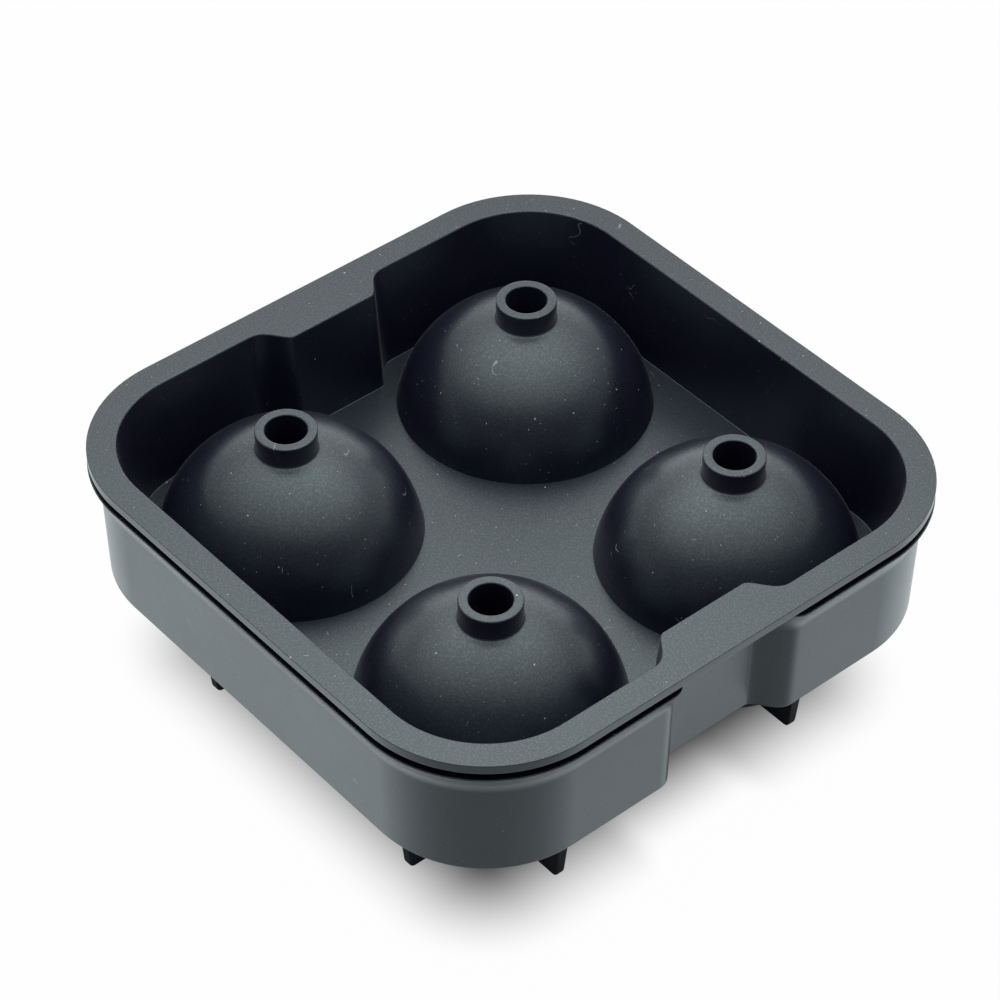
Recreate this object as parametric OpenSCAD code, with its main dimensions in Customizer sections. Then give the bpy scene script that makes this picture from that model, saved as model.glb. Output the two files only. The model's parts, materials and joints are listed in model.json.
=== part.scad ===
// Two-piece silicone mold for four round ice balls, standing closed on its feet.
// The upper half nests in the lower half. The origin is on the floor, under the tray's centre,
// with +Z up and the two finger tabs on the +X and -X sides.

/* [Balls] */
// Diameter of one ice ball
ball_d = 45; // [40:0.5:47]
// Distance between the axes of neighbouring balls
ball_pitch = 55.5; // [53:0.5:58]
// Silicone thickness around each ball
shell_t = 2; // [1.5:0.1:2.5]
// Height of the cups' lowest points above the floor
cup_lift = 0.4; // [0.2:0.1:3]

/* [Fill spouts] */
// Outer diameter of a spout
spout_d = 11.2; // [10:0.2:14]
// Diameter of the hole through a spout
spout_bore_d = 7.6; // [5:0.2:8]
// Height of a spout's top above the crown of its dome
spout_rise = 3.6; // [2:0.2:8]

/* [Rim and walls] */
// Side of the square rim flange
rim_side = 120; // [118:0.5:126]
// Radius of the rim flange's corners in plan
rim_corner_r = 25; // [20:1:28]
// Width of the rim flange between the tabs
flange_w = 5.3; // [5:0.1:6]
// Thickness of the rim flange
flange_t = 1.4; // [1.2:0.1:2.4]
// Thickness of the side walls of both halves
wall_t = 1.5; // [1.2:0.1:1.8]
// Height of the rim's top above the deck
rim_rise = 20.7; // [18:0.1:24]
// How far each side of the upper wall leans in between the rim and the deck
upper_lean = 2.6; // [1.5:0.1:3.5]

/* [Deck] */
// Thickness of the deck that carries the domes
deck_t = 2; // [1.5:0.1:2.4]
// Height of the deck's top above the parting plane through the balls' centres
deck_rise = 4.4; // [3.8:0.1:6]

/* [Finger tabs] */
// Straight length of a tab's inner edge
tab_l = 18; // [12:1:24]
// How far the wall is pushed in at a tab
tab_depth = 5; // [3:0.5:6]
// Length along the side that each curved flank of a tab takes
tab_flank_l = 7; // [6:0.5:10]

/* [Lower half] */
// Thickness of the lower half's floor
floor_t = 2; // [1.5:0.1:3]
// Depth of the lower wall's bottom edge below the parting plane
wall_drop = 2.4; // [2:0.1:4]
// How far each side of the lower wall leans in between its top and its bottom
lower_lean = 0.5; // [0.2:0.1:2]
// Height of the flared lip round the lower half's top
lip_h = 4.1; // [2:0.1:6]
// How far the flared lip stands out from the lower wall
lip_w = 2.1; // [1.5:0.1:3]
// Open gap between the lip and the rim flange
lip_gap = 1.3; // [0.5:0.1:2]

/* [Ball seal] */
// Wall of the spigot ring under each dome
spigot_t = 1.4; // [1:0.1:1.6]
// Wall of the socket ring round each cup
socket_t = 1.2; // [0.8:0.1:1.6]
// Clearance between a spigot, its socket and the deck
seal_clearance = 0.3; // [0.3:0.05:0.5]
// Clearance between the nested side walls at the lip
nest_gap = 0.75; // [0.5:0.05:1]

/* [Feet] */
// Thickness of the crossed fins under each cup
fin_t = 2.2; // [1.6:0.1:4]
// Reach of a fin from its ball's axis
fin_reach = 19; // [15:0.5:20]
// Radius of a fin's lower outer corner
fin_corner_r = 1.6; // [0.5:0.1:3]

/* [Hidden] */
$fn = 96;
silicone = [0.17, 0.18, 0.19];
overshoot = 1;
flank_steps = 10;
corner_steps = 14;

ball_r = ball_d / 2;
dome_r = ball_r + shell_t;
ball_z = cup_lift + dome_r;
crown_z = ball_z + dome_r;
spout_top_z = crown_z + spout_rise;

deck_top_z = ball_z + deck_rise;
deck_bottom_z = deck_top_z - deck_t;
rim_top_z = deck_top_z + rim_rise;
flange_bottom_z = rim_top_z - flange_t;
lip_top_z = flange_bottom_z - lip_gap;
lip_bottom_z = lip_top_z - lip_h;
wall_bottom_z = ball_z - wall_drop;
floor_top_z = wall_bottom_z + floor_t;

rim_half = rim_side / 2;
basin_half = rim_half - flange_w;
basin_corner_r = rim_corner_r - flange_w;
tab_half = tab_l / 2 + tab_flank_l;
lip_lean = upper_lean * (rim_top_z - lip_top_z) / rim_rise;
nest_offset = wall_t + nest_gap - lip_lean;
nest_half = basin_half + nest_offset;

spigot_r = ball_r + spigot_t;
socket_bore_r = spigot_r + seal_clearance;
socket_r = socket_bore_r + socket_t;
socket_top_z = deck_bottom_z - seal_clearance;
mid_shell_r = ball_r + shell_t / 2;
fin_h = ball_z - sqrt(mid_shell_r * mid_shell_r - fin_reach * fin_reach);

// One flank of the +X tab, from the plain wall to the pushed-in stretch
function tab_flank(half) = [
    for (i = [0 : flank_steps])
        let (share = i / flank_steps)
        [half - tab_depth * (1 - cos(180 * share)) / 2, tab_half - tab_flank_l * share]
];

// The pushed-in stretch of the +X side, in order of rising y
function tab_side(half) = let (flank = tab_flank(half)) concat(
    [for (point = flank) [point.x, -point.y]],
    [for (i = [flank_steps : -1 : 0]) flank[i]]
);

// A quarter circle round the corner of a square, starting at the given angle
function corner_arc(half, r, start) = [
    for (i = [0 : corner_steps])
        let (angle = start + 90 * i / corner_steps, middle = start + 45)
        [sign(cos(middle)) * (half - r) + r * cos(angle),
         sign(sin(middle)) * (half - r) + r * sin(angle)]
];

// Inner outline of the rim: a rounded square, pushed in at the two tabs
module basin_outline() {
    polygon(concat(
        tab_side(basin_half),
        corner_arc(basin_half, basin_corner_r, 0),
        corner_arc(basin_half, basin_corner_r, 90),
        [for (point = tab_side(basin_half)) -point],
        corner_arc(basin_half, basin_corner_r, 180),
        corner_arc(basin_half, basin_corner_r, 270)
    ));
}

// The basin's outline moved outwards all round
module grown_outline(grow) {
    offset(delta = grow) basin_outline();
}

// A leaning solid whose top has the children's outline, and whose sides lean in below it
module leaning(z, h, half, lean) {
    foot = (half - lean) / half;
    translate([0, 0, z])
        linear_extrude(height = h, scale = 1 / foot)
            scale([foot, foot])
                children();
}

// The children once for each ball
module at_balls() {
    for (x = [-1, 1], y = [-1, 1])
        translate([x * ball_pitch / 2, y * ball_pitch / 2, 0])
            children();
}

// The room inside one closed ball
module ball_room() {
    translate([0, 0, ball_z]) sphere(r = ball_r);
}

// The flat rim flange, a rounded square with a straight outer edge
module rim_plate() {
    straight = rim_side - 2 * rim_corner_r;
    translate([0, 0, flange_bottom_z])
        linear_extrude(height = flange_t) {
            square([straight, rim_side], center = true);
            square([rim_side, straight], center = true);
            for (x = [-1, 1], y = [-1, 1])
                translate([x * straight / 2, y * straight / 2])
                    circle(r = rim_corner_r);
        }
}

// The basin above the deck, open at the rim
module basin_room() {
    extra = upper_lean * overshoot / rim_rise;
    grown_half = basin_half + extra;
    leaning(deck_top_z, rim_rise + overshoot, grown_half, upper_lean + extra)
        grown_outline(extra);
}

// One dome with its spout on top and its spigot ring below the deck
module dome() {
    intersection() {
        translate([0, 0, ball_z]) sphere(r = dome_r);
        translate([0, 0, deck_bottom_z]) cylinder(r = dome_r + overshoot, h = dome_r);
    }
    translate([0, 0, ball_z]) cylinder(r = spigot_r, h = deck_bottom_z - ball_z + deck_t / 2);
    translate([0, 0, ball_z + ball_r]) cylinder(d = spout_d, h = spout_top_z - ball_z - ball_r);
}

module upper_mold() {
    wall_h = flange_bottom_z - deck_bottom_z;
    lean_per_mm = upper_lean / rim_rise;
    wall_half = basin_half + wall_t - lean_per_mm * flange_t;
    color(silicone)
        difference() {
            union() {
                difference() {
                    union() {
                        rim_plate();
                        leaning(deck_bottom_z, wall_h + flange_t / 2, wall_half,
                                lean_per_mm * (wall_h + flange_t / 2))
                            grown_outline(wall_t - lean_per_mm * flange_t);
                    }
                    basin_room();
                }
                at_balls() dome();
            }
            at_balls() {
                ball_room();
                translate([0, 0, ball_z]) cylinder(d = spout_bore_d, h = spout_top_z);
            }
        }
}

// The room inside the lower wall, where the upper half nests
module nest_room() {
    depth = lip_top_z - floor_top_z;
    lean_per_mm = lower_lean / (lip_top_z - wall_bottom_z);
    extra = lean_per_mm * overshoot;
    leaning(floor_top_z, depth + overshoot, nest_half + extra, lean_per_mm * (depth + overshoot))
        grown_outline(nest_offset + extra);
}

// The way that one dome takes out of the lower half
module dome_way() {
    translate([0, 0, deck_bottom_z])
        cylinder(r = dome_r + nest_gap, h = lip_top_z - deck_bottom_z + overshoot);
}

// One cup below the floor, with the socket ring for the spigot
module cup() {
    intersection() {
        translate([0, 0, ball_z]) sphere(r = dome_r);
        translate([0, 0, ball_z - 2 * dome_r]) cylinder(r = dome_r + overshoot, h = 2 * dome_r);
    }
    translate([0, 0, wall_bottom_z + floor_t / 2])
        cylinder(r = socket_r, h = socket_top_z - wall_bottom_z - floor_t / 2);
}

// Side view of one fin, flat at the floor with rounded lower corners
module fin_profile() {
    foot = fin_reach - fin_corner_r;
    translate([-foot, 0]) square([2 * foot, fin_h]);
    translate([-fin_reach, fin_corner_r]) square([2 * fin_reach, fin_h - fin_corner_r]);
    for (x = [-1, 1])
        translate([x * foot, fin_corner_r]) circle(r = fin_corner_r);
}

// The two crossed fins that one cup stands on
module crossed_fins() {
    for (turn = [0, 90])
        rotate([90, 0, turn])
            translate([0, 0, -fin_t / 2])
                linear_extrude(height = fin_t) fin_profile();
}

module lower_mold() {
    color(silicone)
        difference() {
            union() {
                difference() {
                    union() {
                        leaning(wall_bottom_z, lip_top_z - wall_bottom_z, nest_half + wall_t,
                                lower_lean)
                            grown_outline(nest_offset + wall_t);
                        leaning(lip_bottom_z, lip_h, nest_half + wall_t + lip_w, lip_w)
                            grown_outline(nest_offset + wall_t + lip_w);
                    }
                    nest_room();
                }
                at_balls() {
                    cup();
                    crossed_fins();
                }
            }
            at_balls() {
                ball_room();
                translate([0, 0, ball_z])
                    cylinder(r = socket_bore_r, h = socket_top_z - ball_z + overshoot);
                dome_way();
            }
        }
}

upper_mold();
lower_mold();
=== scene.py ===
"""Two-piece silicone mold for four ice balls: finished surfaces, floor, light and camera."""

import json
import math

import bmesh
import bpy
from mathutils import Matrix, Quaternion, Vector


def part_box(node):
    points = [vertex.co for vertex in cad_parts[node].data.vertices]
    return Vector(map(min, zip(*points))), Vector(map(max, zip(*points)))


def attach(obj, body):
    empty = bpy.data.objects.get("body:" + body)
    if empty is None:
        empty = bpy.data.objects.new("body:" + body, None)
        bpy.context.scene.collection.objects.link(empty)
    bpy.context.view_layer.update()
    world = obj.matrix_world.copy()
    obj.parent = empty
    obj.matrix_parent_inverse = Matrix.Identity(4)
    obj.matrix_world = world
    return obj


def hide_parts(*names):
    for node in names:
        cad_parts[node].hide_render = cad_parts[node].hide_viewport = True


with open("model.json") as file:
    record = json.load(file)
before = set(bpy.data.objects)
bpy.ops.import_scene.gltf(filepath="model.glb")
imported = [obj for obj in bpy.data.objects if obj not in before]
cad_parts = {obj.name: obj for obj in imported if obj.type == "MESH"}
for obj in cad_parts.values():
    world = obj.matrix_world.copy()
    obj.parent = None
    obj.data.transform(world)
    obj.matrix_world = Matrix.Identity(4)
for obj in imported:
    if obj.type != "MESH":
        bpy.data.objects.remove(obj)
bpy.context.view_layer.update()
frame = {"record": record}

MM = 0.001

# Places that the frame gives
upper_low, upper_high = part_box("upper_mold")
lower_low, lower_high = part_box("lower_mold")
spouts = [mount for mount in frame["record"]["mounts"] if mount["kind"] == "bore"]
ball_axes = [Vector((mount["pos_m"][0], mount["pos_m"][1], 0)) for mount in spouts]
BORE_R = spouts[0]["dims"]["r_mm"] * MM
RIM_HALF = upper_high.x
LIP_HALF = lower_high.x
BALL_Z = upper_low.z
SPOUT_TOP = upper_high.z
FLOOR_Z = lower_low.z

# Balls and spouts
BALL_R = 22.5 * MM
DOME_R = BALL_R + 2 * MM
SPOUT_R = 5.6 * MM
SPOUT_EDGE = 0.3 * MM
SPOUT_FOOT = 0.35 * MM
SPIGOT_R = BALL_R + 1.4 * MM
SOCKET_BORE_R = SPIGOT_R + 0.3 * MM
SOCKET_R = SOCKET_BORE_R + 1.2 * MM

# Heights of the two halves
DECK_TOP = BALL_Z + 4.4 * MM
DECK_BOTTOM = DECK_TOP - 2 * MM
RIM_TOP = DECK_TOP + 20.7 * MM
FLANGE_BOTTOM = RIM_TOP - 1.9 * MM
SOCKET_TOP = DECK_BOTTOM - 0.3 * MM
LIP_TOP = lower_high.z - 0.5 * MM
LIP_FOOT = LIP_TOP - 3.6 * MM
WALL_BOTTOM = BALL_Z - 2.4 * MM
FLOOR_TOP = WALL_BOTTOM + 2 * MM

# Plan of the walls, measured outwards from the axes of the tray's corners
RIM_U = 25 * MM
CORNER_AXIS = RIM_HALF - RIM_U
LIP_U = LIP_HALF - CORNER_AXIS
BASIN_U = RIM_U - 5.3 * MM
BASIN_FOOT_U = BASIN_U - 2.35 * MM
DECK_EDGE_U = BASIN_FOOT_U - 0.4 * MM
UPPER_WALL_T = 1.3 * MM
LOWER_WALL_U = LIP_U - 2.1 * MM
LOWER_WALL_T = 1.5 * MM
LOWER_LEAN = 0.5 * MM

# Finger tabs on the two X sides
TAB_DEPTH = 5 * MM
TAB_FLAT_HALF = 9 * MM
TAB_FLANK_L = 7 * MM
TAB_HALF = TAB_FLAT_HALF + TAB_FLANK_L
TAB_LIMIT_U = 22.5 * MM
FLANK_EASE = 1.5

# Crossed fins under each cup
FIN_T = 2.4 * MM
FIN_DRAFT = 0.3
FIN_REACH = 18.8 * MM
FIN_TOP_REACH = 20 * MM
FIN_CORNER = 1.2 * MM
FIN_EDGE = 0.2 * MM
FIN_SEAT_R = BALL_R + 1 * MM
FIN_TOP = BALL_Z - math.sqrt(FIN_SEAT_R ** 2 - FIN_TOP_REACH ** 2)

# Rounding of the upper half's edges
DECK_FILLET = 0.12 * MM
RIM_INNER_EDGE = 0.4 * MM
RIM_OUTER_EDGE = 0.12 * MM
FLANGE_EDGE = 0.3 * MM
FLANGE_FILLET = 0.4 * MM
UPPER_FOOT_EDGE = 0.6 * MM
SPIGOT_EDGE = 0.2 * MM

# Rounding of the lower half's edges, and the flat strips beside them
NEST_FILLET = 0.6 * MM
NEST_EDGE = 0.3 * MM
LIP_EDGE = 0.35 * MM
LIP_FILLET = 1.6 * MM
LOWER_FOOT_EDGE = 0.5 * MM
SOCKET_FILLET = 0.4 * MM
SOCKET_EDGE = 0.3 * MM
NEST_STRIP = 0.7 * MM
LOWER_FOOT_STRIP = 1.2 * MM
SOCKET_STRIP = 0.5 * MM

# The photograph's camera, which looks level along VIEW_AWAY before it is tilted down
VIEW_TURN = math.radians(49.405)
VIEW_AWAY = Vector((-math.sin(VIEW_TURN), math.cos(VIEW_TURN), 0))
VIEW_TILT = math.radians(42.715)
VIEW_ROLL = math.radians(0.341)
VIEW_AIM = Vector((-8.632, 5.298, 30)) * MM
VIEW_DISTANCE = 630.73 * MM
LENS_MM = 125.49
SENSOR_MM = 36

# Silicone: how many features of each kind there are to a metre
GRAIN_FINENESS = 2200
GLINT_FINENESS = 2700
PATCH_FINENESS = 60
SMEAR_FINENESS = 190
FIBRE_FINENESS = 150
FIBRE_SPACING_FINENESS = 200
LARGE_DUST_FINENESS = 330
FINE_DUST_FINENESS = 1000

# Silicone: colours, and how strongly each mark shows
DARK_CHARCOAL = (0.0050, 0.0048, 0.0150, 1)
LIGHT_CHARCOAL = (0.0080, 0.0076, 0.0210, 1)
SMEAR_GREY = (0.030, 0.034, 0.040, 1)
LINT_WHITE = (0.80, 0.82, 0.84, 1)
DUST_WHITE = (0.86, 0.88, 0.90, 1)
SMEAR_SHARE = 0.2
LINT_SHARE = 0.25
DUST_SHARE = 0.5
SPECK_WANDER = 0.4 * MM

# Silicone: grain and shine
GRAIN_DEPTH = 0.045 * MM
GRAIN_STRENGTH = 0.5
SMOOTHEST = 0.28
ROUGHEST = 0.36
SHINE_IOR = 1.72
SHINE_TINT = (0.77, 0.96, 0.945, 1)
GLINT_COAT = 0.33
WALL_COAT = 0.55
COAT_ROUGHNESS = 0.32
SHEEN_WEIGHT = 0.15
SHEEN_ROUGHNESS = 0.15

# Floor paper, and the surround that shines show in its place, with painted shade in front
FLOOR_HALF = 3
WHITE = (1, 1, 1, 1)
PAPER_GREY = (0.46, 0.46, 0.46, 1)
WHITENESS = 0.985
SHADOW_DEPTH = 25 * MM
SHADOW_REACH = 1 * MM
MIRRORED_SHADOW_DEPTH = 4 * MM
MIRRORED_SHADOW_REACH = 8 * MM
NOTCH_STRETCH = 0.25
# Paper that shines see below the horizon: painted shade makes it darker in front, standing for the
# tray's shadow on the floor
LIT_PAPER_AT_BACK = (0.89, 0.97, 1, 1)
SHADED_PAPER_IN_FRONT = (0.33, 0.36, 0.37, 1)

# Studio light
GLOW_IN_FRONT = 0.11
GLOW_AT_BACK = 0.72
BACK_HIGHLIGHT = 0.65
HORIZON_GLOW = 0.7
PANEL_AWAY = 55 * MM
PANEL_Z = 223 * MM
PANEL_WIDTH = 360 * MM
PANEL_DEPTH = 292 * MM
PANEL_GLOW = 0.335
LAMP_SIZES = (0.4, 0.8, 1.2, 1.6)
LAMP_STEP = 5 * MM

# Fineness of the meshes
ROUND_STEPS = 4
FIN_EDGE_STEPS = 2
TURN_STEPS = 96
ARC_STEPS = 28
CORNER_STEPS = 24
FLANK_STEPS = 16
WELD = 0.001 * MM
SHARP_ANGLE = math.radians(40)


class Section:
    """A wall's section: a chain of edges in the XZ plane, with x measured from the turning axis."""

    def __init__(self, x, z):
        self.mesh = bmesh.new()
        self.tip = self.mesh.verts.new((x, 0, z))
        self.corners = []

    def line(self, x, z, rounding=0):
        """Draw a straight edge, and note how far the corner at its end is to be rounded."""
        self.tip = bmesh.ops.extrude_vert_indiv(self.mesh, verts=[self.tip])["verts"][0]
        self.tip.co = (x, 0, z)
        if rounding:
            self.corners.append((self.tip, rounding))

    def arc(self, turn, steps, rounding=0):
        """Draw an arc about the ball's centre, upwards for a positive turn."""
        made = bmesh.ops.spin(
            self.mesh, geom=[self.tip], cent=(0, 0, BALL_Z), axis=(0, -1, 0), angle=turn, steps=steps
        )
        self.tip = made["geom_last"][0]
        if rounding:
            self.corners.append((self.tip, rounding))

    def rounded(self):
        """Round the noted corners and give the finished section."""
        for corner, rounding in self.corners:
            bmesh.ops.bevel(
                self.mesh, geom=[corner], offset=rounding, offset_type="OFFSET", segments=ROUND_STEPS,
                profile=0.5, affect="VERTICES", material=-1,
            )
        return self.mesh


def split_geometry(made):
    """The vertices and the edges among an operator's results."""
    verts = [item for item in made if isinstance(item, bmesh.types.BMVert)]
    edges = [item for item in made if isinstance(item, bmesh.types.BMEdge)]
    return verts, edges


def turned(section):
    """Turn a section about the Z axis into a closed round wall."""
    mesh = section.rounded()
    bmesh.ops.spin(
        mesh, geom=mesh.verts[:] + mesh.edges[:], cent=(0, 0, 0), axis=(0, 0, 1), angle=math.tau,
        steps=TURN_STEPS, use_merge=True,
    )
    bmesh.ops.remove_doubles(mesh, verts=mesh.verts[:], dist=WELD)
    return mesh


def tab_stations():
    """Places along a tabbed side, and how far the wall is pushed in at each."""
    flank = []
    for step in range(FLANK_STEPS + 1):
        share = step / FLANK_STEPS
        push = TAB_DEPTH * (1 - math.cos(math.pi * share ** FLANK_EASE)) / 2
        flank.append((TAB_HALF - TAB_FLANK_L * share, push))
    rising = [(-place, push) for place, push in flank]
    return rising + flank[::-1] + [(CORNER_AXIS, 0)]


def swept_round_tray(section, pushed_u):
    """Carry a wall's section along the tray's four sides and about its four corners.

    On the two tabbed sides, the part of the section inside pushed_u follows the tabs.
    """
    mesh = section.rounded()
    bmesh.ops.translate(mesh, verts=mesh.verts[:], vec=(CORNER_AXIS, -CORNER_AXIS, 0))
    verts, edges = mesh.verts[:], mesh.edges[:]
    for side in range(4):
        turn = Matrix.Rotation(side * math.pi / 2, 3, "Z")
        outward = turn @ Vector((1, 0, 0))
        along = turn @ Vector((0, 1, 0))
        stations = [(CORNER_AXIS, 0)] if side % 2 else tab_stations()
        place, push = -CORNER_AXIS, 0
        for next_place, next_push in stations:
            verts, edges = split_geometry(bmesh.ops.extrude_edge_only(mesh, edges=edges)["geom"])
            bmesh.ops.translate(mesh, verts=verts, vec=along * (next_place - place))
            pushed = [vert for vert in verts if vert.co.dot(outward) - CORNER_AXIS < pushed_u]
            bmesh.ops.translate(mesh, verts=pushed, vec=outward * (push - next_push))
            place, push = next_place, next_push
        made = bmesh.ops.spin(
            mesh, geom=verts + edges, cent=(outward + along) * CORNER_AXIS, axis=(0, 0, 1),
            angle=math.pi / 2, steps=CORNER_STEPS,
        )
        verts, edges = split_geometry(made["geom_last"])
    bmesh.ops.remove_doubles(mesh, verts=mesh.verts[:], dist=WELD)
    return mesh


def add_at_balls(mesh, part):
    """Put a copy of a part on each ball's axis."""
    placed = bpy.data.meshes.new("ball_part")
    for axis in ball_axes:
        part.to_mesh(placed)
        placed.transform(Matrix.Translation(axis))
        mesh.from_mesh(placed)
    bpy.data.meshes.remove(placed)
    part.free()


def close_level(mesh, level):
    """Fill the flat face at one level, between the tray's wall and the four balls."""
    border = [
        edge for edge in mesh.edges
        if edge.is_boundary and all(abs(vert.co.z - level) < WELD for vert in edge.verts)
    ]
    bmesh.ops.triangle_fill(mesh, use_beauty=True, edges=border, normal=(0, 0, 1))


def upper_wall():
    """The upper half's wall from the deck over the rim flange and down to the deck's underside."""
    section = Section(DECK_EDGE_U, DECK_TOP)
    section.line(BASIN_FOOT_U, DECK_TOP, DECK_FILLET)
    section.line(BASIN_U, RIM_TOP, RIM_INNER_EDGE)
    section.line(RIM_U, RIM_TOP, RIM_OUTER_EDGE)
    section.line(RIM_U, FLANGE_BOTTOM, FLANGE_EDGE)
    section.line(BASIN_U + UPPER_WALL_T, FLANGE_BOTTOM, FLANGE_FILLET)
    section.line(BASIN_FOOT_U + UPPER_WALL_T, DECK_BOTTOM, UPPER_FOOT_EDGE)
    section.line(DECK_EDGE_U, DECK_BOTTOM)
    return swept_round_tray(section, TAB_LIMIT_U)


def dome_and_spout():
    """One dome with its fill spout, and its spigot ring below the deck."""
    foot_angle = math.asin((DECK_TOP - BALL_Z) / DOME_R)
    spout_angle = math.acos(SPOUT_R / DOME_R)
    bore_angle = math.acos(BORE_R / BALL_R)
    section = Section(DOME_R * math.cos(foot_angle), DECK_TOP)
    section.arc(spout_angle - foot_angle, ARC_STEPS, SPOUT_FOOT)
    section.line(SPOUT_R, SPOUT_TOP, SPOUT_EDGE)
    section.line(BORE_R, SPOUT_TOP, SPOUT_EDGE)
    section.line(BORE_R, BALL_Z + BALL_R * math.sin(bore_angle), SPOUT_EDGE)
    section.arc(-bore_angle, ARC_STEPS)
    section.line(SPIGOT_R, BALL_Z, SPIGOT_EDGE)
    section.line(SPIGOT_R, DECK_BOTTOM)
    return turned(section)


def upper_half():
    """The upper moulding: rim, wall, deck and four domes as one closed skin."""
    mesh = upper_wall()
    add_at_balls(mesh, dome_and_spout())
    close_level(mesh, DECK_TOP)
    close_level(mesh, DECK_BOTTOM)
    return mesh


def lower_wall():
    """The lower half's wall from its floor over the flared lip and down to the underside."""
    nest_u = LOWER_WALL_U - LOWER_WALL_T
    nest_foot_u = nest_u - LOWER_LEAN
    wall_foot_u = LOWER_WALL_U - LOWER_LEAN
    section = Section(nest_foot_u - NEST_STRIP, FLOOR_TOP)
    section.line(nest_foot_u, FLOOR_TOP, NEST_FILLET)
    section.line(nest_u, LIP_TOP, NEST_EDGE)
    section.line(LIP_U, LIP_TOP, LIP_EDGE)
    section.line(LOWER_WALL_U, LIP_FOOT, LIP_FILLET)
    section.line(wall_foot_u, WALL_BOTTOM, LOWER_FOOT_EDGE)
    section.line(wall_foot_u - LOWER_FOOT_STRIP, WALL_BOTTOM)
    return swept_round_tray(section, RIM_HALF)


def cup_inside():
    """The inside of one cup, with the socket ring that takes a spigot."""
    section = Section(SOCKET_R + SOCKET_STRIP, FLOOR_TOP)
    section.line(SOCKET_R, FLOOR_TOP, SOCKET_FILLET)
    section.line(SOCKET_R, SOCKET_TOP, SOCKET_EDGE)
    section.line(SOCKET_BORE_R, SOCKET_TOP, SOCKET_EDGE)
    section.line(SOCKET_BORE_R, BALL_Z)
    section.line(BALL_R, BALL_Z)
    section.arc(-math.pi / 2, ARC_STEPS)
    return turned(section)


def cup_outside():
    """The outside of one cup below the floor."""
    start_angle = math.asin((BALL_Z - WALL_BOTTOM) / DOME_R)
    section = Section(DOME_R * math.cos(start_angle), WALL_BOTTOM)
    section.arc(start_angle - math.pi / 2, ARC_STEPS)
    return turned(section)


def fin():
    """One upright fin along X, wider and thicker at its top, which is cut round to seat in a cup."""
    seat_angle = math.acos(FIN_TOP_REACH / FIN_SEAT_R)
    section = Section(FIN_TOP_REACH, FIN_TOP)
    section.line(FIN_REACH, FLOOR_Z, FIN_CORNER)
    section.line(-FIN_REACH, FLOOR_Z, FIN_CORNER)
    section.line(-FIN_TOP_REACH, FIN_TOP)
    section.arc(math.pi - 2 * seat_angle, ARC_STEPS)
    mesh = section.rounded()
    bmesh.ops.remove_doubles(mesh, verts=mesh.verts[:], dist=WELD)
    bmesh.ops.contextual_create(mesh, geom=mesh.edges[:])
    bmesh.ops.translate(mesh, verts=mesh.verts[:], vec=(0, -FIN_T / 2, 0))
    made = bmesh.ops.extrude_face_region(mesh, geom=mesh.faces[:], use_keep_orig=True)["geom"]
    bmesh.ops.translate(mesh, verts=split_geometry(made)[0], vec=(0, FIN_T, 0))
    for vert in mesh.verts:
        vert.co.y *= 1 - FIN_DRAFT * (FIN_TOP - vert.co.z) / FIN_TOP
    bmesh.ops.recalc_face_normals(mesh, faces=mesh.faces[:])
    outline = [
        edge for edge in mesh.edges
        if edge.calc_face_angle(0) > SHARP_ANGLE
        and min(vert.co.z for vert in edge.verts) < FIN_CORNER
    ]
    bmesh.ops.bevel(
        mesh, geom=outline, offset=FIN_EDGE, offset_type="OFFSET", segments=FIN_EDGE_STEPS,
        profile=0.5, affect="EDGES", material=-1,
    )
    return mesh


def lower_half():
    """The lower moulding without its fins: wall, floor and four cups as one closed skin."""
    mesh = lower_wall()
    add_at_balls(mesh, cup_inside())
    add_at_balls(mesh, cup_outside())
    close_level(mesh, FLOOR_TOP)
    close_level(mesh, WALL_BOTTOM)
    return mesh


def fins(turn):
    """The fins of all four cups that lie in one direction."""
    part = fin()
    turned_round = Matrix.Rotation(turn, 3, "Z")
    bmesh.ops.rotate(part, verts=part.verts[:], cent=(0, 0, 0), matrix=turned_round)
    mesh = bmesh.new()
    add_at_balls(mesh, part)
    return mesh


def as_object(name, mesh):
    """Weld a finished shape, turn its faces outwards and make an object of it."""
    bmesh.ops.remove_doubles(mesh, verts=mesh.verts[:], dist=WELD)
    bmesh.ops.recalc_face_normals(mesh, faces=mesh.faces[:])
    data = bpy.data.meshes.new(name)
    mesh.to_mesh(data)
    mesh.free()
    made = bpy.data.objects.new(name, data)
    bpy.context.scene.collection.objects.link(made)
    return made


def fuse(base, added):
    """Join another closed shape to a piece, so that both become one skin without slivers."""
    union = base.modifiers.new("union", "BOOLEAN")
    union.operation = "UNION"
    union.solver = "EXACT"
    union.object = added
    evaluated = base.evaluated_get(bpy.context.evaluated_depsgraph_get())
    fused = bpy.data.meshes.new_from_object(evaluated)
    mesh = bmesh.new()
    mesh.from_mesh(fused)
    bmesh.ops.remove_doubles(mesh, verts=mesh.verts[:], dist=WELD)
    bmesh.ops.dissolve_degenerate(mesh, dist=WELD, edges=mesh.edges[:])
    mesh.to_mesh(fused)
    mesh.free()
    base.modifiers.clear()
    base.data = fused
    bpy.data.objects.remove(added)


def finish_piece(piece, material, body, node):
    """Give a piece its shading, material and place in the assembly."""
    piece.data.materials.clear()
    piece.data.materials.append(material)
    piece.data.shade_smooth()
    piece.data.set_sharp_from_angle(angle=SHARP_ANGLE)
    normals = piece.modifiers.new("even_flats", "WEIGHTED_NORMAL")
    normals.keep_sharp = True
    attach(piece, body)
    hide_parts(node)


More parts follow.
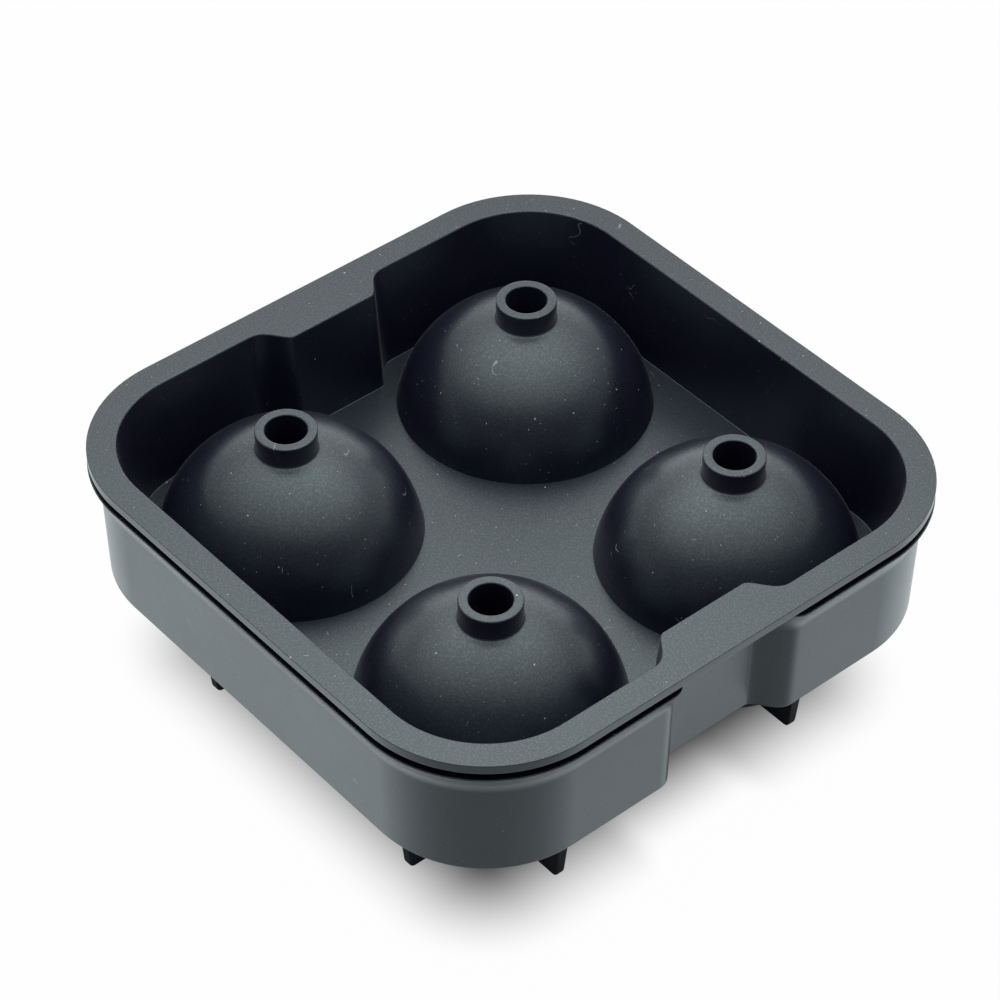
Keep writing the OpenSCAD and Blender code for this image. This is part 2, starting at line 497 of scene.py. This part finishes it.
class Signal:
    """A shader output. Arithmetic on it adds Math nodes to the same material."""

    def __init__(self, finish, output):
        self.finish = finish
        self.output = output

    def sibling(self, name):
        """Another output of the same node."""
        return Signal(self.finish, self.output.node.outputs[name])

    def maths(self, operation, first, second):
        """One Math node."""
        return self.finish.node("ShaderNodeMath", {"operation": operation}, {0: first, 1: second})

    def __abs__(self):
        return self.maths("ABSOLUTE", self, 0)

    def __add__(self, other):
        return self.maths("ADD", self, other)

    def __radd__(self, other):
        return self.maths("ADD", other, self)

    def __sub__(self, other):
        return self.maths("SUBTRACT", self, other)

    def __rsub__(self, other):
        return self.maths("SUBTRACT", other, self)

    def __mul__(self, other):
        return self.maths("MULTIPLY", self, other)

    def __rmul__(self, other):
        return self.maths("MULTIPLY", other, self)


class Finish:
    """The node tree of one material or of the world."""

    def __init__(self, owner):
        owner.use_nodes = True
        self.owner = owner
        self.tree = owner.node_tree
        self.tree.nodes.clear()

    def node(self, kind, settings, inputs, output=0):
        """Add a node, set it up, link or fill its sockets, and give one of its outputs."""
        made = self.tree.nodes.new(kind)
        for name, value in settings.items():
            setattr(made, name, value)
        for socket, value in inputs.items():
            if isinstance(value, Signal):
                self.tree.links.new(value.output, made.inputs[socket])
            else:
                made.inputs[socket].default_value = value
        return Signal(self, made.outputs[output]) if len(made.outputs) else None

    def noise(self, place, scale, detail, roughness=0.5):
        """Even noise about a half."""
        return self.node(
            "ShaderNodeTexNoise", {},
            {"Vector": place, "Scale": scale, "Detail": detail, "Roughness": roughness},
        )

    def ramp(self, value, low, high, start=0.0, end=1.0):
        """Spread a value's range from low to high over start to end, smoothly."""
        return self.node(
            "ShaderNodeMapRange", {"interpolation_type": "SMOOTHSTEP"},
            {"Value": value, "From Min": low, "From Max": high, "To Min": start, "To Max": end},
        )

    def rays(self, kind):
        """One for the rays of one kind, and nought for all others."""
        return self.node("ShaderNodeLightPath", {}, {}, output=kind)

    def mirrored(self):
        """One for the rays that shines and clear pieces send on, and nought for all others."""
        return self.rays("Is Glossy Ray") + self.rays("Is Transmission Ray")

    def tint(self, share, first, second):
        """Mix two colours."""
        return self.node(
            "ShaderNodeMix", {"data_type": "RGBA"}, {0: share, 6: first, 7: second}, output=2
        )


def dust_specks(finish, place, fineness, bare_share, largest):
    """Specks of mixed size and uneven outline, at most one in each cell of a fine lattice."""
    wander = finish.noise(place, scale=5 * fineness, detail=1).sibling("Color")
    uneven = finish.node(
        "ShaderNodeVectorMath", {"operation": "MULTIPLY_ADD"},
        {0: wander, 1: (SPECK_WANDER, SPECK_WANDER, SPECK_WANDER), 2: place},
    )
    distance = finish.node(
        "ShaderNodeTexVoronoi", {"feature": "F1"}, {"Vector": uneven, "Scale": fineness},
        output="Distance",
    )
    cell_colour = distance.sibling("Color")
    chance = finish.node("ShaderNodeSeparateColor", {}, {"Color": cell_colour}, output="Red")
    reach = finish.ramp(chance, low=bare_share, high=1.0, start=0.0, end=largest)
    return finish.ramp(reach - distance, low=0.0, high=0.3 * largest)


def lint(finish, place):
    """A few short, thin, curly fibres."""
    curls = finish.noise(place, scale=FIBRE_FINENESS, detail=1)
    strands = finish.ramp(abs(curls - 0.5), low=0.006, high=0.002)
    spots = finish.noise(place, scale=FIBRE_SPACING_FINENESS, detail=0)
    return strands * finish.ramp(spots, low=0.76, high=0.79)


def silicone(name):
    """Charcoal silicone: satin, with a blasted grain, faint smears, and a little dust and lint."""
    finish = Finish(bpy.data.materials.new(name))
    place = finish.node("ShaderNodeTexCoord", {}, {}, output="Object")
    grain = finish.noise(place, scale=GRAIN_FINENESS, detail=2, roughness=0.6)
    glint_noise = finish.noise(place, scale=GLINT_FINENESS, detail=1, roughness=0.6)
    glints = finish.ramp(glint_noise, low=0.45, high=0.66)
    patches = finish.noise(place, scale=PATCH_FINENESS, detail=4, roughness=0.6)
    smear_noise = finish.noise(place, scale=SMEAR_FINENESS, detail=4, roughness=0.65)
    smears = finish.ramp(smear_noise, low=0.58, high=0.78)

    outward = place.sibling("Normal")
    facing = finish.node("ShaderNodeSeparateXYZ", {}, {"Vector": outward}, output="Z")
    upward = finish.ramp(facing, low=-0.2, high=0.6, start=0.3)
    blasted = finish.ramp(facing, low=0.0, high=0.4, start=0.3)
    polished = finish.ramp(facing, low=0.09, high=0.02)

    large_dust = dust_specks(finish, place, LARGE_DUST_FINENESS, bare_share=0.35, largest=0.065)
    fine_dust = dust_specks(finish, place, FINE_DUST_FINENESS, bare_share=0.3, largest=0.11)
    dust = (large_dust + fine_dust) * upward
    fibres = lint(finish, place) * upward

    base = finish.tint(patches, DARK_CHARCOAL, LIGHT_CHARCOAL)
    smeared = finish.tint(smears * SMEAR_SHARE, base, SMEAR_GREY)
    linty = finish.tint(fibres * LINT_SHARE, smeared, LINT_WHITE)
    colour = finish.tint(dust * DUST_SHARE, linty, DUST_WHITE)
    unevenness = patches * 0.6 + grain * 0.4 + smears * 0.1
    roughness = finish.ramp(unevenness, low=0.3, high=0.7, start=SMOOTHEST, end=ROUGHEST)
    coat = glints * blasted * GLINT_COAT + polished * WALL_COAT
    bump = finish.node(
        "ShaderNodeBump", {},
        {"Height": grain * blasted, "Strength": GRAIN_STRENGTH, "Distance": GRAIN_DEPTH},
    )
    shader = finish.node(
        "ShaderNodeBsdfPrincipled", {},
        {
            "Base Color": colour, "Roughness": roughness, "Coat Weight": coat, "Normal": bump,
            "IOR": SHINE_IOR, "Specular Tint": SHINE_TINT,
            "Coat IOR": SHINE_IOR, "Coat Roughness": COAT_ROUGHNESS,
            "Sheen Weight": SHEEN_WEIGHT, "Sheen Roughness": SHEEN_ROUGHNESS,
        },
    )
    finish.node("ShaderNodeOutputMaterial", {}, {"Surface": shader})
    return finish.owner


def floor_paper():
    """White paper: plain white clear of the tray, and real light and shadow near it.

    Past the tray's own shadow, shines see the studio's surround in the paper's place, with painted
    shade in front.
    """
    finish = Finish(bpy.data.materials.new("floor_paper"))
    place = finish.node("ShaderNodeTexCoord", {}, {}, output="Object")
    spread = finish.node("ShaderNodeVectorMath", {"operation": "ABSOLUTE"}, {0: place})
    past_axis = finish.node(
        "ShaderNodeVectorMath", {"operation": "SUBTRACT"},
        {0: spread, 1: (CORNER_AXIS, CORNER_AXIS, 0)},
    )
    outside = finish.node(
        "ShaderNodeVectorMath", {"operation": "MAXIMUM"}, {0: past_axis, 1: (0, 0, 0)}
    )
    reach = finish.node(
        "ShaderNodeVectorMath", {"operation": "LENGTH"}, {0: outside}, output="Value"
    )
    along = finish.node("ShaderNodeSeparateXYZ", {}, {"Vector": spread}, output="Y")
    notch = finish.ramp(along, low=TAB_HALF, high=TAB_FLAT_HALF)
    clear = finish.ramp(
        reach * (1 + notch * NOTCH_STRETCH),
        low=LOWER_WALL_U - SHADOW_DEPTH, high=LOWER_WALL_U + SHADOW_REACH, end=WHITENESS,
    )
    mirrored_clear = finish.ramp(
        reach,
        low=LOWER_WALL_U - MIRRORED_SHADOW_DEPTH, high=LOWER_WALL_U + MIRRORED_SHADOW_REACH,
        end=WHITENESS,
    )
    paper = finish.node("ShaderNodeBsdfDiffuse", {}, {"Color": PAPER_GREY})
    white = finish.node("ShaderNodeEmission", {}, {"Color": WHITE, "Strength": 1.0})
    seen_share = finish.rays("Is Camera Ray") * clear
    seen = finish.node("ShaderNodeMixShader", {}, {0: seen_share, 1: paper, 2: white})
    surround = finish.node("ShaderNodeBsdfTransparent", {}, {"Color": WHITE})
    surround_share = finish.mirrored() * mirrored_clear
    mixed = finish.node("ShaderNodeMixShader", {}, {0: surround_share, 1: seen, 2: surround})
    finish.node("ShaderNodeOutputMaterial", {}, {"Surface": mixed})
    return finish.owner


def lay_floor():
    """A wide white floor that keeps the object's soft shadow."""
    mesh = bmesh.new()
    bmesh.ops.create_grid(mesh, x_segments=1, y_segments=1, size=FLOOR_HALF)
    floor = as_object("studio_floor", mesh)
    floor.data.materials.append(floor_paper())


def light_studio():
    """A white surround that is brightest at the back.

    Below the horizon, shines see it as white paper with painted shade: it is darker in front,
    standing for the tray's shadow and the light that falls off towards the front.
    """
    world = bpy.data.worlds.new("studio")
    bpy.context.scene.world = world
    finish = Finish(world)
    direction = finish.node("ShaderNodeTexCoord", {}, {}, output="Generated")
    height = finish.node("ShaderNodeSeparateXYZ", {}, {"Vector": direction}, output="Z")
    away = finish.node(
        "ShaderNodeVectorMath", {"operation": "DOT_PRODUCT"}, {0: direction, 1: VIEW_AWAY},
        output="Value",
    )
    broad_glow = finish.ramp(away, low=-0.97, high=1.0, start=GLOW_IN_FRONT, end=GLOW_AT_BACK)
    back_glow = finish.ramp(away, low=0.6, high=1.0, end=BACK_HIGHLIGHT)
    horizon = finish.ramp(height, low=0.04, high=0.24, start=1.0, end=0.0)
    mirrored = finish.mirrored()
    seen = finish.rays("Is Camera Ray")
    sweep = mirrored * finish.ramp(height, low=0.0, high=-0.02)
    # Painted shade: the paper seen in shines grows darker in front, for the tray's shadow
    painted_shade_in_front = finish.ramp(away, low=0.27, high=-0.6)
    paper = finish.tint(painted_shade_in_front, LIT_PAPER_AT_BACK, SHADED_PAPER_IN_FRONT)
    glow = broad_glow + back_glow + mirrored * horizon * HORIZON_GLOW
    strength = seen + (1 - seen) * ((1 - sweep) * glow + sweep)
    colour = finish.tint(sweep, WHITE, paper)
    shade = finish.node("ShaderNodeBackground", {}, {"Color": colour, "Strength": strength})
    finish.node("ShaderNodeOutputWorld", {}, {"Surface": shade})


def hang_panel():
    """A soft oval panel above the tray: lamps of four sizes make it brightest at its middle."""
    for size in LAMP_SIZES:
        data = bpy.data.lights.new("panel_lamp", "AREA")
        data.shape = "ELLIPSE"
        data.size = PANEL_WIDTH * size
        data.size_y = PANEL_DEPTH * size
        data.energy = math.pi * data.size * data.size_y * PANEL_GLOW
        lamp = bpy.data.objects.new("panel_lamp", data)
        place = VIEW_AWAY * PANEL_AWAY + Vector((0, 0, PANEL_Z + LAMP_STEP * size))
        lamp.matrix_world = Matrix.Translation(place) @ Matrix.Rotation(VIEW_TURN, 4, "Z")
        lamp.visible_camera = False
        bpy.context.scene.collection.objects.link(lamp)


def set_camera():
    """The photograph's view: from the front right, well above the tray."""
    back = Vector((0, 0, math.sin(VIEW_TILT))) - VIEW_AWAY * math.cos(VIEW_TILT)
    turn = back.to_track_quat("Z", "Y") @ Quaternion((0, 0, 1), VIEW_ROLL)
    place = Matrix.Translation(VIEW_AIM + back * VIEW_DISTANCE)
    data = bpy.data.cameras.new("photo_view")
    data.sensor_width = SENSOR_MM
    data.lens = LENS_MM
    camera = bpy.data.objects.new("photo_view", data)
    camera.matrix_world = place @ turn.to_matrix().to_4x4()
    bpy.context.scene.collection.objects.link(camera)
    bpy.context.scene.camera = camera


bpy.context.scene.view_settings.view_transform = "Standard"
set_camera()
light_studio()
hang_panel()
lay_floor()

upper = as_object("upper_moulding", upper_half())
upper_finish = silicone("upper_charcoal_silicone")
finish_piece(upper, upper_finish, "upper_half", "upper_mold")

lower = as_object("lower_moulding", lower_half())
for direction in (0, math.pi / 2):
    fuse(lower, as_object("fins", fins(direction)))
lower_finish = silicone("lower_charcoal_silicone")
finish_piece(lower, lower_finish, "lower_half", "lower_mold")
